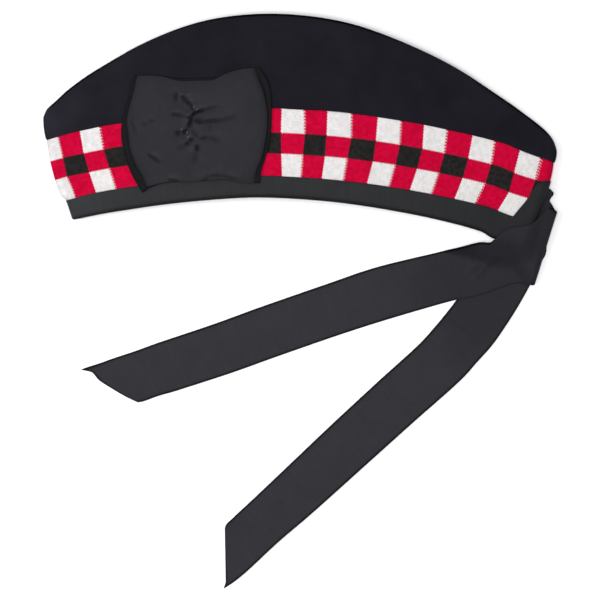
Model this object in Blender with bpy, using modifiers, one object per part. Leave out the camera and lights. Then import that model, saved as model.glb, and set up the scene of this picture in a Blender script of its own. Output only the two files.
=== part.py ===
"""A glengarry cap lying folded flat on its right side, seen from its left.

Metres, +Z up. The cap's length runs along X with the front fold at -X, and the
wall rises from the rim towards +Y. The underside rests on Z = 0, and the origin
is the middle of the whole object's box, at that surface.
"""

import bpy
from math import cos, exp, pi, radians, sin
from mathutils import Matrix, Vector

# Driving sizes of the cap
cap_length = 0.300          # front fold to back fold, at the ridge
cap_height = 0.107          # rim to the top of the ridge
rim_inset = 0.018           # how far each end of the rim lies inside the ridge's end
wall_lean = radians(19.2)   # slope of the front and back folds
wool_wall = 0.0017
fold_thickness = 0.0092     # outside thickness at the front and back folds
mouth_thickness = 0.024     # outside thickness at mid-length: at the rim,
band_top_thickness = 0.027  # at the top of the band
ridge_thickness = 0.023     # and at the ridge
ridge_fold_radius = 0.0030
valley_depth = 0.048        # how deep the top panel is creased inwards
valley_half_gap = 0.0004
crease_start = 0.12         # share of the length, from each end, where the crease begins
crease_span = 0.30          # share of the length over which it forms
crease_fullness = 0.8       # power of the crease's depth along the cap
swell_fullness = 1.2        # power of the cap's thickness along the cap
corner_rise = 0.0036        # rounding of the ridge where it meets the end folds

# Driving sizes of the band and its ribbon
band_height = 0.0380        # three rows of squares above the binding
binding_width = 0.0117      # ribbon that shows above the rim
binding_inside = 0.0105     # ribbon inside the rim
ribbon_thickness = 0.0010
clearance = 0.0003
seam_gap = 0.0007           # between the band's top edge and the crown
slit_height = 0.0340        # rear slit, up from the rim

# Driving sizes of the cockade
cockade_width = 0.0690
cockade_height = 0.0648
cockade_puff = 0.0046       # height of its gathers above the cloth
cockade_along = 0.292       # place along the wall
cockade_up = 0.0421         # place up from the rim
cockade_turn = radians(3.4)

# Driving sizes of the tails
ribbon_width = 0.0290
upper_reach = 0.270         # rear corner of the rim to the tip, along X
lower_reach = 0.262
tail_fold_gap = 0.0024      # between the two layers of the folded tail

# Numbers of faces
side_steps = 18
rear_steps = 7
rear_share = 0.10           # last share of the length, divided more finely
fold_angles = (30, 60, 90)

# Upper and lower outlines of the left side. Columns: share of the length from
# the front, then the rim's height, how much wider the binding shows than at the
# front, and the ridge's height, all as shares of cap_height.
SIDE = (
    (0.00, -0.109, 0.000, 0.450),
    (0.05, -0.085, 0.000, 0.590),
    (0.10, -0.064, 0.000, 0.703),
    (0.20, -0.028, 0.001, 0.862),
    (0.30, -0.003, 0.003, 0.966),
    (0.40, 0.011, 0.006, 1.008),
    (0.50, 0.002, 0.010, 1.009),
    (0.60, -0.022, 0.014, 0.961),
    (0.70, -0.061, 0.020, 0.862),
    (0.80, -0.111, 0.024, 0.724),
    (0.90, -0.180, 0.028, 0.542),
    (0.95, -0.224, 0.031, 0.432),
    (1.00, -0.264, 0.034, 0.300),
)

# Top edge of the binding near the back, where it turns up beside the slit.
# Columns: share of the length, share of the slit's height added to the width.
REAR_BINDING = (
    (0.940, 0.00),
    (0.957, 0.05),
    (0.968, 0.28),
    (0.980, 0.68),
    (0.986, 0.74),
    (1.000, 0.76),
)

# Outline of the cockade. Columns: share of an edge from its start, then how far
# the top, right, bottom and left edges stand out, as shares of the cockade's
# width. The top and bottom edges are drawn in by the gathering.
COCKADE_EDGE = (
    (0.00, 0.000, 0.000, 0.000, 0.000),
    (0.20, -0.028, 0.076, -0.044, 0.058),
    (0.35, -0.066, 0.096, -0.046, 0.086),
    (0.50, -0.084, 0.094, -0.050, 0.092),
    (0.65, -0.080, 0.074, -0.048, 0.080),
    (0.82, -0.040, 0.034, -0.022, 0.044),
    (1.00, 0.000, 0.000, 0.000, 0.000),
)

# Creases of the gathers. Columns: where a crease leaves the centre line and
# where it ends, both as shares of the half height, its reach as a share of the
# half width, negative to the left, and its depth as a share of the puff.
COCKADE_CREASE = (
    (0.52, 0.98, -0.62, 0.50),
    (0.30, 0.52, -0.86, 0.42),
    (0.12, 0.16, -0.95, 0.50),
    (-0.08, -0.22, -0.80, 0.36),
    (-0.28, -0.74, -0.85, 0.52),
    (0.54, 0.96, 0.52, 0.46),
    (0.28, 0.40, 0.80, 0.44),
    (0.10, 0.08, 0.95, 0.50),
    (-0.12, -0.34, 0.78, 0.38),
    (-0.32, -0.82, 0.66, 0.50),
)

# Route of each tail. Columns: centre of the ribbon from the rim's rear corner,
# along X and Y, as shares of the tail's reach; the direction across the ribbon
# in degrees; its span that way as a share of the ribbon's width; and the layer,
# 0 under the fold and 1 over it.
TAIL_UPPER = (
    (0.025, 0.028, -108, 1.10, 0.00),
    (0.032, 0.011, -106, 1.38, 0.00),
    (0.039, 0.000, -107, 1.42, 0.50),
    (0.029, 0.004, -107, 1.42, 1.00),
    (0.010, -0.003, -107, 1.33, 1.00),
    (-0.013, -0.011, -105, 1.22, 1.00),
    (-0.038, -0.018, -101, 1.20, 1.00),
    (-0.058, -0.026, -98, 1.16, 1.00),
    (-0.080, -0.037, -94, 1.06, 1.00),
    (-0.104, -0.044, -87, 1.00, 1.00),
    (-0.134, -0.051, -79, 1.00, 1.00),
    (-0.175, -0.059, -73, 1.00, 1.00),
    (-0.304, -0.090, -71, 1.00, 1.00),
    (-0.412, -0.125, -71, 1.00, 1.00),
    (-0.556, -0.175, -70, 1.00, 1.00),
    (-0.657, -0.213, -70, 1.00, 1.00),
    (-0.772, -0.252, -69, 1.00, 1.00),
    (-0.834, -0.272, -60, 1.03, 1.00),
    (-0.889, -0.294, -36, 1.18, 1.00),
)
TAIL_LOWER = (
    (0.000, -0.007, 0, 0.84, 1.00),
    (-0.020, -0.030, -3, 0.98, 1.00),
    (-0.049, -0.068, -11, 1.10, 1.00),
    (-0.073, -0.106, -21, 1.10, 1.00),
    (-0.093, -0.143, -30, 1.07, 1.00),
    (-0.118, -0.180, -38, 1.00, 1.00),
    (-0.151, -0.215, -44, 0.98, 1.00),
    (-0.194, -0.258, -43, 0.97, 1.00),
    (-0.294, -0.345, -45, 0.97, 1.00),
    (-0.397, -0.439, -44, 0.96, 1.00),
    (-0.516, -0.545, -41, 0.95, 1.00),
    (-0.592, -0.613, -41, 0.95, 1.00),
    (-0.638, -0.656, -62, 0.98, 1.00),
    (-0.666, -0.693, -87, 1.06, 1.00),
)
tail_across = 6
tail_steps = 3
drape_slope = 2.2           # steepest the ribbon falls from what it lies on
drape_flat = 0.0025         # how far it stays level beyond an edge
drape_reach = 0.009

# Worked out from the sizes above
band_top = binding_width + band_height
ribbon_stand = clearance + ribbon_thickness
fold_radius = fold_thickness / 2
rim_turn = wool_wall / 2 + clearance + ribbon_thickness / 2
rim_turn_height = ribbon_thickness / 2 + rim_turn
turn_up_start = REAR_BINDING[0][0]
turn_up_span = 0.06         # share of the length over which the band lifts onto the turned up ribbon
front_rim = rim_inset
back_rim = cap_length - rim_inset


# The scene and small helpers

def clear_scene():
    for item in list(bpy.data.objects):
        bpy.data.objects.remove(item, do_unlink=True)


def blend(a, b, share):
    return a + (b - a) * share


def ease(share):
    share = max(0.0, min(1.0, share))
    return share * share * (3 - 2 * share)


def read_table(table, at, column):
    """A smooth reading of one column, rising along the table's first column."""
    rows = [row[0] for row in table]
    at = max(rows[0], min(rows[-1], at))
    i = max(j for j in range(len(rows) - 1) if rows[j] <= at)
    values = [row[column] for row in table]

    def slope(j):
        low, high = max(0, j - 1), min(len(rows) - 1, j + 1)
        return (values[high] - values[low]) / (rows[high] - rows[low])

    gap = rows[i + 1] - rows[i]
    t = (at - rows[i]) / gap
    start = values[i] * (2 * t**3 - 3 * t**2 + 1) + slope(i) * gap * (t**3 - 2 * t**2 + t)
    return start + values[i + 1] * (3 * t**2 - 2 * t**3) + slope(i + 1) * gap * (t**3 - t**2)


# The cap's walls: share u runs from the front fold to the back fold, and a
# level is a line along the wall, at a height h from the rim up to the top of
# the band, and by a share c from there to the ridge

def rim_height(u):
    return cap_height * read_table(SIDE, u, 1)


def extra_binding(u):
    return cap_height * read_table(SIDE, u, 2)


def ridge_height(u):
    return cap_height * read_table(SIDE, u, 3)


def lean_at(u):
    return wall_lean * (2 * u - 1)


def wall_level(h, c=0.0):
    """Front end, back end and height line of a level."""
    reach = h * sin(wall_lean)
    front = blend(front_rim - reach, 0.0, c)
    back = blend(back_rim + reach, cap_length, c)

    def height(u):
        widening = extra_binding(u) * min(1.0, h / binding_width)
        band = rim_height(u) + h * cos(lean_at(u)) + widening
        return blend(band, ridge_height(u), c)

    return front, back, height


def middle_thickness(h, c):
    up = 1 - min(1.0, h / band_top)
    band = band_top_thickness + (mouth_thickness - band_top_thickness) * up**2
    return band + (ridge_thickness - band_top_thickness) * c**2


def thickness_at(u, h, c):
    swell = sin(pi * max(0.0, min(1.0, u)))**swell_fullness
    return fold_thickness + (middle_thickness(h, c) - fold_thickness) * swell


def floor_height(u, h, c):
    """Height of the lower side's outer face, which lies on the ribbon and then on the surface."""
    up = (h - binding_width - clearance) / (band_height - clearance)
    front = 1 - max(0.0, min(1.0, up))
    back = 1 - min(1.0, 2 * c)
    return ribbon_stand * blend(front, back, ease((u - turn_up_start) / turn_up_span + 1))


def column_shares():
    plain = [i / side_steps * (1 - rear_share) for i in range(1, side_steps)]
    rear = [1 - rear_share * (1 - i / rear_steps) for i in range(rear_steps)]
    return plain + rear


def level_columns(h, c, stand, lift=0.0):
    """The two sides' points of a level, front to back, and its two end points."""
    front, back, height = wall_level(h, c)
    radius = fold_radius + stand
    front_middle = floor_height(0.0, h, c) + fold_radius
    back_middle = floor_height(1.0, h, c) + fold_radius
    first, last = front - stand, back + stand
    length = back - front

    def place(x, z):
        return Vector((x, height((x - front) / length) + lift, z))

    top, bottom = [], []
    for degrees in fold_angles:
        angle = radians(degrees)
        x = first + radius * (1 - cos(angle))
        top.append(place(x, front_middle + radius * sin(angle)))
        bottom.append(place(x, front_middle - radius * sin(angle)))
    inner = length - 2 * fold_radius
    for share in column_shares():
        x = front + fold_radius + inner * share
        thick = thickness_at(share, h, c)
        low = floor_height(share, h, c) - stand
        top.append(place(x, low + thick + 2 * stand))
        bottom.append(place(x, low))
    for degrees in reversed(fold_angles):
        angle = radians(degrees)
        x = last - radius * (1 - cos(angle))
        top.append(place(x, back_middle + radius * sin(angle)))
        bottom.append(place(x, back_middle - radius * sin(angle)))
    return top, bottom, place(first, front_middle), place(last, back_middle)


def level_ring(h, c=0.0, stand=0.0, lift=0.0):
    """One closed line round the cap: the front end, the upper side, the back end, the lower side."""
    top, bottom, first, last = level_columns(h, c, stand, lift)
    return [first] + top + [last] + bottom[::-1]


columns = len(column_shares()) + 2 * len(fold_angles)


# Meshes

def new_object(name, points, faces, colour, roughness):
    mesh = bpy.data.meshes.new(name)
    mesh.from_pydata([tuple(point) for point in points], [], faces)
    mesh.validate()
    piece = bpy.data.objects.new(name, mesh)
    cap_collection.objects.link(piece)
    material = bpy.data.materials.new(name + "_cloth")
    material.use_nodes = True
    shader = material.node_tree.nodes["Principled BSDF"]
    shader.inputs["Base Color"].default_value = (*colour, 1)
    shader.inputs["Roughness"].default_value = roughness
    shader.inputs["Metallic"].default_value = 0.0
    mesh.materials.append(material)
    mesh.shade_smooth()
    return piece


def thicken(piece, thickness, offset):
    shell = piece.modifiers.new("cloth thickness", "SOLIDIFY")
    shell.thickness = thickness
    shell.offset = offset
    shell.use_even_offset = True
    shell.use_quality_normals = True


def ring_faces(rings, around, skip=None):
    faces = []
    for row in range(rings - 1):
        for i in range(around):
            if skip and skip(row, i):
                continue
            j = (i + 1) % around
            faces.append((row * around + i, row * around + j,
                          (row + 1) * around + j, (row + 1) * around + i))
    return faces


# Crown: walls from the band to the ridge, then the creased top panel

def panel_section(u, upper, lower):
    """Points across the top panel at one place along the cap, upper side first."""
    thick = upper.z - lower.z
    middle = (upper.z + lower.z) / 2
    half = thick / 2
    radius = min(ridge_fold_radius, (half - 2 * valley_half_gap) / 2)
    crease = ease((min(u, 1 - u) - crease_start) / crease_span)
    depth = valley_depth * sin(pi * u)**crease_fullness
    crest = upper.y + corner_rise
    folded = []
    for degrees in (36, 72, 108, 144, 180):
        angle = radians(degrees)
        folded.append((half - radius * (1 - cos(angle)), crest - corner_rise * (1 - sin(angle))))
    for share in (0.35, 0.7, 1.0):
        sheet = blend(half - 2 * radius, valley_half_gap, share)
        folded.append((sheet, crest - blend(corner_rise, depth + corner_rise, share)))
    folded = folded + [(-z, y) for z, y in reversed(folded)]
    count = len(folded)
    points = []
    for i, (z, y) in enumerate(folded):
        angle = pi * (i + 1) / (count + 1)
        arch_z = half * cos(angle)
        arch_y = upper.y + corner_rise * sin(angle)
        points.append(Vector((upper.x, blend(arch_y, y, crease), middle + blend(arch_z, z, crease))))
    return points


def make_crown():
    around = 2 * columns + 2
    levels = (0.0, 0.3, 0.6, 0.85, 1.0)
    points = []
    for share in levels:
        lift = seam_gap * (1 - share) - corner_rise * share
        points += level_ring(band_top, share, 0.0, lift)
    faces = ring_faces(len(levels), around)
    start = (len(levels) - 1) * around
    front, back = start, start + columns + 1
    upper = [start + 1 + i for i in range(columns)]
    lower = [start + around - 1 - i for i in range(columns)]
    sections = []
    for i in range(columns):
        high, low = points[upper[i]], points[lower[i]]
        section = panel_section(high.x / cap_length, high, low)
        first = len(points)
        points += section
        sections.append([upper[i]] + list(range(first, first + len(section))) + [lower[i]])
    for here, there in zip(sections, sections[1:]):
        for j in range(len(here) - 1):
            faces.append((here[j], there[j], there[j + 1], here[j + 1]))
    for j in range(len(sections[0]) - 1):
        faces.append((front, sections[0][j], sections[0][j + 1]))
        faces.append((sections[-1][j], back, sections[-1][j + 1]))
    crown = new_object("crown", points, faces, (0.012, 0.012, 0.018), 0.95)
    thicken(crown, wool_wall, -1)


# Band and binding, both open at the rear slit

def beside_slit(i):
    return i in (columns, columns + 1)


def make_band():
    heights = [rim_turn_height, binding_width, slit_height]
    heights += [blend(slit_height, band_top, share) for share in (0.5, 1.0)]
    rings = []
    for h in heights:
        rings += level_ring(h)
    around = 2 * columns + 2
    slit_rows = heights.index(slit_height)
    faces = ring_faces(len(heights), around, lambda row, i: row < slit_rows and beside_slit(i))
    band = new_object("diced_band", rings, faces, (0.60, 0.03, 0.06), 0.9)
    thicken(band, wool_wall, -1)


def binding_top(u):
    return binding_width + slit_height * read_table(REAR_BINDING, u, 1)


def make_binding():
    """Ribbon folded round the rim, turned up at the back beside the slit."""
    out = clearance + ribbon_thickness / 2
    inside = -(wool_wall + out)
    around = 2 * columns + 2
    along = side_shares()
    shares = [0.0] + along + [1.0] + along[::-1]
    rows = []
    for share in (1.0, 0.6, 0.3, 0.0):
        levels = {}
        ring = []
        for i, u in enumerate(shares):
            h = blend(rim_turn_height, binding_top(u), share)
            key = round(h, 6)
            if key not in levels:
                levels[key] = level_ring(h, 0.0, out)
            ring.append(levels[key][i])
        rows.append(ring)
    for degrees in (45, 90, 135):
        angle = radians(degrees)
        stand = -wool_wall / 2 + rim_turn * cos(angle)
        rows.append(level_ring(rim_turn_height, 0.0, stand, -rim_turn * sin(angle)))
    rows.append(level_ring(rim_turn_height, 0.0, inside))
    rows.append(level_ring(binding_inside, 0.0, inside))
    points = [point for ring in rows for point in ring]
    faces = [face[::-1] for face in ring_faces(len(rows), around, lambda row, i: beside_slit(i))]
    binding = new_object("edge_binding", points, faces, (0.03, 0.03, 0.036), 0.7)
    thicken(binding, ribbon_thickness, 0)


def side_shares():
    """Share of the length at each column of a level."""
    front, back, height = wall_level(0.0)
    length = back - front
    top = level_columns(0.0, 0.0, 0.0)[0]
    return [(point.x - front) / length for point in top]


# Where cloth lies on the cap

def cap_share(x, y):
    """Share along the cap, height up the wall and share of the crown at a place seen from above."""
    u, h, c = x / cap_length, 0.0, 0.0
    for step in range(6):
        front, back, height = wall_level(min(h, band_top), c)
        u = (x - front) / (back - front)
        inside = max(0.0, min(1.0, u))
        h = (y - rim_height(inside)) / cos(lean_at(inside))
        band = height_of_band_top(inside)
        c = max(0.0, min(1.0, (y - band) / (ridge_height(inside) - band)))
    return u, h, c


def height_of_band_top(u):
    return rim_height(u) + band_top * cos(lean_at(u)) + extra_binding(u)


def face_height(u, h, c):
    """Height of the cap's upper face, with the binding on it."""
    level = max(0.0, min(h, band_top))
    along = max(0.0, min(1.0, u))
    top = floor_height(along, level, c) + thickness_at(along, level, c)
    if h < binding_top(along) + clearance:
        top += ribbon_stand
    return top


def cap_top(x, y):
    """Height of the cap's upper face at a place, or None beside the cap."""
    beside = ribbon_stand + clearance
    if y < rim_height(1.0) - beside:
        return None
    u, h, c = cap_share(x, y)
    front, back, height = wall_level(max(0.0, min(h, band_top)), c)
    if x < front - beside or x > back + beside or h < -beside or c >= 1:
        return None
    return face_height(u, h, c)


# Cockade: a ribbon square drawn together along its middle

def crease_depth(a, b):
    depth = 0.0
    for centre, end, reach, share in COCKADE_CREASE:
        along = a / reach
        if along < 0:
            continue
        line = blend(centre, end, along)
        width = blend(0.05, 0.13, along)
        fade = exp(-(along / 0.85)**4)
        depth += share * fade * exp(-((b - line) / width)**2)
    return depth


def cockade_relief(a, b):
    """Height above the cloth as a share of the puff; a across and b up, both -1 to 1."""
    rim = (1 - abs(a)**9) * (1 - 0.75 * abs(b)**5)
    middle = 1 - 0.72 * exp(-(a / 0.11)**2) * (1 - b**4)
    return max(0.0, rim * middle * (1 - 0.8 * min(1.0, crease_depth(a, b))))


def cloth_below(x, y):
    """Highest cloth of the cap within a few millimetres of a place."""
    reach = 2 * ribbon_thickness
    around = [(0, 0), (reach, 0), (-reach, 0), (0, reach), (0, -reach)]
    return max(face_height(*cap_share(x + dx, y + dy)) for dx, dy in around)


def cockade_place(a, b):
    """Place in the cockade's own plane; a across and b up, both -1 to 1."""
    across, up = (a + 1) / 2, (b + 1) / 2
    top = read_table(COCKADE_EDGE, across, 1)
    right = read_table(COCKADE_EDGE, 1 - up, 2)
    bottom = read_table(COCKADE_EDGE, across, 3)
    left = read_table(COCKADE_EDGE, 1 - up, 4)
    x = a / 2 * cockade_width + cockade_width * (right * across - left * (1 - across))
    y = b / 2 * cockade_height + cockade_width * (top * up - bottom * (1 - up))
    return x, y


def make_cockade():
    across, up = 22, 18
    front, back, height = wall_level(cockade_up)
    centre = Vector((blend(front, back, cockade_along), height(cockade_along), 0))
    turn = Matrix.Rotation(cockade_turn, 3, "Z")
    points, faces = [], []
    for j in range(up + 1):
        for i in range(across + 1):
            a, b = sin(pi / 2 * (2 * i / across - 1)), 2 * j / up - 1
            spot = centre + turn @ Vector((*cockade_place(a, b), 0))
            stand = clearance + ribbon_thickness * 0.7 + cockade_puff * cockade_relief(a, b)
            spot.z = cloth_below(spot.x, spot.y) + stand
            points.append(spot)
    row = across + 1
    for j in range(up):
        for i in range(across):
            k = j * row + i
            faces.append((k, k + 1, k + 1 + row, k + row))
    cockade = new_object("cockade", points, faces, (0.028, 0.028, 0.034), 0.6)
    thicken(cockade, ribbon_thickness, 0)


# Tails

def tail_line(table, reach):
    """The ribbon's left and right edges and layer along a tail, read smoothly from its table."""
    corner = Vector((back_rim, rim_height(1.0)))
    numbered = [(i, *row) for i, row in enumerate(table)]
    stations = []
    for k in range((len(table) - 1) * tail_steps + 1):
        at = k / tail_steps
        x, y, angle, span, layer = (read_table(numbered, at, column) for column in range(1, 6))
        centre = corner + Vector((x, y)) * reach
        half = Vector((cos(radians(angle)), sin(radians(angle)))) * span * ribbon_width / 2
        stations.append((centre - half, centre + half, layer))
    return stations


def share_across(stations, x, y):
    """How far across a tail a place seen from above lies, or None beside the tail."""
    for here, there in zip(stations, stations[1:]):
        left, right = here[0], here[1]
        cross = right - left
        step = ((there[0] + there[1]) / 2 - (left + right) / 2).length
        offset = Vector((x, y)) - left
        share = offset.dot(cross) / cross.length_squared
        if -0.04 < share < 1.04 and abs(offset.cross(cross)) / cross.length < 0.7 * step:
            return max(0.0, min(1.0, share))
    return None


def root_height(share):
    """Height of the folded tail's under layer, which comes out of the rear slit."""
    at_slit = ribbon_stand + fold_radius
    over_tail = 2 * ribbon_thickness + clearance
    return blend(at_slit, over_tail, share)


def support_height(x, y, lower, under):
    """Lowest height of the upper tail's middle over whatever lies at a place."""
    height = ribbon_thickness / 2
    if share_across(lower, x, y) is not None:
        height += ribbon_thickness + 2 * clearance
    share = share_across(under, x, y)
    if share is not None:
        height = max(height, root_height(share) + ribbon_thickness + tail_fold_gap)
    top = cap_top(x, y)
    if top is not None:
        height = max(height, top + 2 * clearance + ribbon_thickness / 2)
    return height


def draped_height(x, y, lower, under):
    """Height of a ribbon that hangs over the edges of what it lies on, no steeper than its slope."""
    best = support_height(x, y, lower, under)
    for ring in range(1, 7):
        distance = drape_reach * ring / 6
        fall = drape_slope * max(0.0, distance - drape_flat)
        for k in range(12):
            angle = 2 * pi * k / 12
            there = (x + distance * cos(angle), y + distance * sin(angle))
            best = max(best, support_height(*there, lower, under) - fall)
    return best


def make_ribbon(name, stations, height):
    """A flat ribbon through its stations; height gives its middle at a place and a share across."""
    points, faces = [], []
    for left, right, layer in stations:
        for j in range(tail_across + 1):
            share = j / tail_across
            spot = left.lerp(right, share)
            points.append(Vector((spot.x, spot.y, height(spot.x, spot.y, share, layer))))
    row = tail_across + 1
    for i in range(len(stations) - 1):
        for j in range(tail_across):
            k = i * row + j
            faces.append((k, k + 1, k + 1 + row, k + row))
    tail = new_object(name, points, faces, (0.03, 0.03, 0.036), 0.65)
    thicken(tail, ribbon_thickness, 0)


def make_tails():
    lower = tail_line(TAIL_LOWER, lower_reach)
    upper = tail_line(TAIL_UPPER, upper_reach)
    under = [station for station in upper if station[2] < 0.6][:2 * tail_steps + 1]

    def upper_height(x, y, share, layer):
        over = draped_height(x, y, lower, under)
        return blend(root_height(share), over, max(0.0, min(1.0, layer)))

    make_ribbon("tail_lower", lower, lambda x, y, share, layer: ribbon_thickness / 2)
    make_ribbon("tail_upper", upper, upper_height)


def centre_on_origin():
    """Puts the middle of the whole object's box over the origin."""
    view = bpy.context.evaluated_depsgraph_get()
    corners = []
    for piece in cap_collection.objects:
        mesh = piece.evaluated_get(view).to_mesh()
        corners += [piece.matrix_world @ vertex.co for vertex in mesh.vertices]
    low = Vector([min(point[axis] for point in corners) for axis in range(3)])
    high = Vector([max(point[axis] for point in corners) for axis in range(3)])
    middle = (low + high) / 2
    for piece in cap_collection.objects:
        piece.location = (-middle.x, -middle.y, -low.z)


clear_scene()
cap_collection = bpy.data.collections.new("glengarry")
bpy.context.scene.collection.children.link(cap_collection)
make_crown()
make_band()
make_binding()
make_cockade()
make_tails()
bpy.context.view_layer.update()
centre_on_origin()
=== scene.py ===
"""Looks of a glengarry cap that lies folded flat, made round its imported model.

Metres, in the model's frame: the cap's length runs along X with the front fold
at -X, the wall rises from the rim towards +Y, and the surface is at Z = 0. The
cap is drawn in its own frame first, from the front end of the ridge and the
rim's line, and then moved to its place.
"""

from math import ceil, cos, hypot, pi, radians, sin

import bpy
import numpy as np
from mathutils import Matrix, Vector, noise
from mathutils.bvhtree import BVHTree


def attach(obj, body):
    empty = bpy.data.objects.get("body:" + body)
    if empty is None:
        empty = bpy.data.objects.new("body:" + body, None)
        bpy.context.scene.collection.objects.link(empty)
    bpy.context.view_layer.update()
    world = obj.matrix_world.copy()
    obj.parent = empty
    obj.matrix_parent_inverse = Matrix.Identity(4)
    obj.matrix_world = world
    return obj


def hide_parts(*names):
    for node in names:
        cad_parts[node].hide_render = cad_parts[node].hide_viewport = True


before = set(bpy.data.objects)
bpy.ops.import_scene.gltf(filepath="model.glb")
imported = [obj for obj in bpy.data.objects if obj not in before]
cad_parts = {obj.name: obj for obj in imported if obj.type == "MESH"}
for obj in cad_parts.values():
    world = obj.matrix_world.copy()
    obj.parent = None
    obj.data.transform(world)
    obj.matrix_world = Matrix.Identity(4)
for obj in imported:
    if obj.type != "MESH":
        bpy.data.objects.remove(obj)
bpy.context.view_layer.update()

# Sizes of the cap, as in the model
cap_length = 0.300
cap_height = 0.107
rim_inset = 0.018
wall_lean = radians(19.2)
wool_wall = 0.0017
fold_thickness = 0.0092
mouth_thickness = 0.024
band_top_thickness = 0.027
ridge_thickness = 0.023
ridge_fold_radius = 0.0030
valley_depth = 0.048
valley_half_gap = 0.0005
crease_start = 0.12
crease_span = 0.30
crease_fullness = 0.8
swell_fullness = 1.2
corner_rise = 0.0036
corner_reach = 0.02         # share of the length over which the ridge rises at each end
band_height = 0.0380
binding_width = 0.0117
binding_inside = 0.0105
clearance = 0.0003
model_ribbon = 0.0010
slit_height = 0.0340
slit_half_angle = radians(30)
band_top = binding_width + band_height
ribbon_stand = clearance + model_ribbon
fold_radius = fold_thickness / 2
back_rim = cap_length - rim_inset
turn_up_start = 0.940
turn_up_span = 0.06

# Rows and columns of points
fold_steps = 10
side_steps = 210
crown_rows = 32
panel_steps = 13
band_rows = (34, 18)        # up to the slit's top, and from there
binding_rows = 14           # of its outer side
cockade_rows = 150
cockade_columns = 160       # of its face
stitch_rings = 9
thread_columns = 8

# Cloth as it shows
ribbon_thickness = 0.0006
binding_stand = 0.0008      # middle of the ribbon from the band's face
binding_ripple = 0.00018
join_overlap = 0.0006       # crown behind the band's top edge
join_step = 0.00025         # band proud of the crown
join_tuck = 0.0008          # length over which the band's top edge dips to the crown
join_rise = 0.06            # share of the way up over which the crown comes out to the band
pucker_height = 0.00016     # of each knitted square
pressed_flat = 0.004        # height below which the knit has no puckers
wool_lump = 0.00045
front_puff = 0.0033         # of the band's front fold, which stands out over the binding
back_puff = 0.0021          # of the band's back fold
crown_puff = 0.0009         # of the crown's end folds
puff_reach = 0.05           # share of the length over which these fade out

# Cockade
cockade_at = np.array((0.0893, 0.0415))
cockade_face = 0.0030       # height of its upper layer over what it lies on
cockade_puff = 0.0020       # how much fuller it is between its sides and its middle
cockade_fold = 0.0018       # height of the edges between its face and its folded sides
cockade_curl = 0.0010       # how far its top and bottom edges curl down
cockade_under = 0.0004      # height of its lower layer over what it lies on
cockade_roll = 0.00035      # radius of the turn at the outside of a folded side
cockade_slope = 1.2         # steepest slope at which it hangs over an edge
cockade_bridge = 0.0025     # how far it stays level beyond an edge
gather_reach = 12.0         # millimetres from the gathered line to the full puff
deepest_crease = 0.0018
fine_wrinkle = 0.14         # millimetres high, beside the gathered line
wrinkle_reach = 14.0        # millimetres from the gathered line to where they have faded
broad_wrinkle = 0.30
side_straightness = 0.32    # how much less the folded sides' top edge dips than the face's
corner_drop = 0.0034        # of the left folded side at the bottom
stitch_length = 0.0016
stitch_rise = 0.0004
thread_radius = 0.00025

# Tails
ribbon_width = 0.0296
upper_reach = 0.270         # length that its route's shares are of
lower_reach = 0.262
upper_tip = (-0.0045, -0.0005)
lower_tip = (-0.0012, -0.0006)
tip_width = 0.13            # share of the ribbon's width that a tip takes
tail_gap = 0.0002
tail_step = 0.0014          # between rows of points along a tail, at most
tail_fold_gap = 0.0024
tail_slope = 0.8            # steepest slope at which the upper tail hangs over an edge
tail_bridge = 0.0020        # how far it stays level beyond an edge
upper_wave = 0.0006
lower_wave = 0.0007
slit_rise = 0.0045          # of the lower tail's end inside the slit

# Painted shade, how deep cloth looks, 0 to 1, where it turns from the light and in creases, hollows and
# openings, and painted highlight, how much lighter a lip looks
edge_facing = 0.6           # an edge deepens where it faces up or down by less
ridge_shade = (0.48, 0.34)  # where it starts and over what share of the ridge's rise
panel_shade = 0.6
rim_shade = 0.2
rim_turn_shade = 1.1        # added towards the inside of the turn round the rim
inside_shade = 0.6          # of the binding inside the opening
cockade_side_shade = 0.84
cockade_fold_shade = 0.4
lip_glint = 0.45
root_shade = 0.28           # of the tails near the slit
root_shade_reach = (0.044, 0.055)   # from the rim's corner: where it starts to fade, and over what length
lying_edge = 0.7            # how much less a tail's edge shows on other cloth

cap_place = np.array((-0.150, 0.0584125, 0.0))

# Lower part of the left side. Columns: share of the length from the front, then
# the rim's height, how much wider the binding is and how much higher the band
# is than at the front, all as shares of cap_height.
RIM = (
    (0.00, -0.109, 0.004, 0.000),
    (0.05, -0.085, 0.014, 0.000),
    (0.10, -0.064, 0.016, 0.002),
    (0.20, -0.028, 0.014, 0.006),
    (0.30, -0.003, 0.013, 0.012),
    (0.40, 0.011, 0.010, 0.018),
    (0.50, 0.002, 0.010, 0.019),
    (0.60, -0.022, 0.014, 0.018),
    (0.70, -0.061, 0.020, 0.016),
    (0.80, -0.111, 0.026, 0.012),
    (0.90, -0.180, 0.040, 0.008),
    (0.925, -0.219, 0.056, 0.005),
    (0.95, -0.231, 0.043, 0.002),
    (1.00, -0.264, 0.034, 0.000),
)

# Ridge of the left side. Columns: share of the length, height as a share of
# cap_height.
RIDGE = (
    (0.000, 0.462),
    (0.006, 0.498),
    (0.020, 0.535),
    (0.050, 0.611),
    (0.100, 0.709),
    (0.200, 0.863),
    (0.300, 0.968),
    (0.400, 1.012),
    (0.500, 1.008),
    (0.600, 0.961),
    (0.700, 0.862),
    (0.800, 0.728),
    (0.900, 0.549),
    (0.950, 0.448),
    (0.970, 0.404),
    (0.985, 0.364),
    (0.995, 0.324),
    (1.000, 0.280),
)

# Top edge of the binding near the back, in straight runs. Columns: share of the
# length, share of the slit's height added to the width.
REAR_BINDING = (
    (0.958, 0.000),
    (0.972, 0.326),
    (0.980, 0.641),
    (0.983, 0.700),
    (1.000, 0.770),
)

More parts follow.
